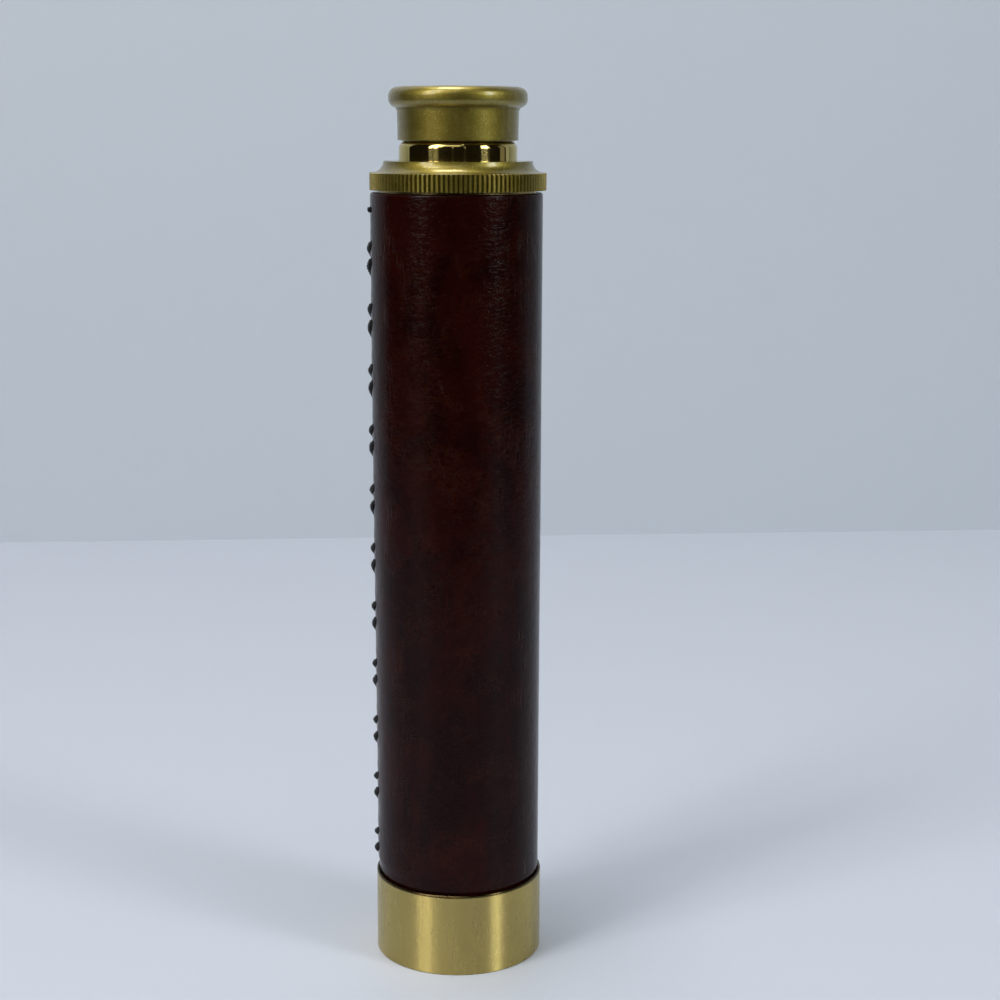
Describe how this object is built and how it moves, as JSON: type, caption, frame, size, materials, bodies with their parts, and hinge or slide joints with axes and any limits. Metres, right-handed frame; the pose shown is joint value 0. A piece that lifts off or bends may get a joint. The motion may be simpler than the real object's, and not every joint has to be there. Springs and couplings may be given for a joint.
{
  "type": "hand telescope",
  "caption": "Small leather-covered brass hand telescope with a laced seam, a polished objective bezel, a knurled collar and nested draw tubes that slide out towards a flared eyepiece.",
  "frame": {"origin": "centre of the objective rim, on the flat face that the closed telescope stands on", "axes": "+Z along the optical axis, from the objective up to the eyepiece; the laced seam of the leather is on the -X side"},
  "size_m": [0.0323, 0.0322, 0.1637],
  "materials": {
    "satin_gold": "bead-blasted brass with an antique gold lacquer",
    "polished_brass": "mirror polished",
    "plain_brass": "drawn, unpolished",
    "black_lacquer": "matt black lacquer on brass",
    "leather": "glazed oxblood leather with fine wrinkles",
    "waxed_thread": "black waxed thread",
    "felt": "dense wool felt",
    "lens_glass": "polished optical glass"
  },
  "bodies": {
    "barrel": {"barrel_tube": "plain_brass", "leather_sleeve": "leather", "seam_thread": "waxed_thread", "objective_bezel": "polished_brass", "objective_cell": "black_lacquer", "objective_crown_lens": "lens_glass", "objective_flint_lens": "lens_glass", "objective_retaining_ring": "black_lacquer", "knurled_collar": "satin_gold", "collar_felt": "felt"},
    "first_draw": {"first_draw_tube": "plain_brass", "first_draw_stop_ring": "plain_brass", "first_draw_collar": "polished_brass", "first_draw_felt": "felt"},
    "second_draw": {"second_draw_tube": "polished_brass", "second_draw_stop_ring": "plain_brass", "erector_tube": "black_lacquer", "erector_front_lens": "lens_glass", "erector_rear_lens": "lens_glass", "erector_front_ring": "black_lacquer", "erector_rear_ring": "black_lacquer", "erector_stop": "black_lacquer", "eyepiece_bush": "plain_brass", "eyepiece_body": "satin_gold", "eyepiece_lens_barrel": "black_lacquer", "eye_lens": "lens_glass", "eye_lens_ring": "black_lacquer", "field_stop": "black_lacquer", "field_lens": "lens_glass", "field_lens_ring": "black_lacquer"}
  },
  "joints": [
    {"name": "first_draw_slide", "type": "slide", "parent": "barrel", "child": "first_draw", "axis": [0, 0, 1], "range_m": [0, 0.1098]},
    {"name": "second_draw_slide", "type": "slide", "parent": "first_draw", "child": "second_draw", "axis": [0, 0, 1], "range_m": [0, 0.1142]}
  ]
}
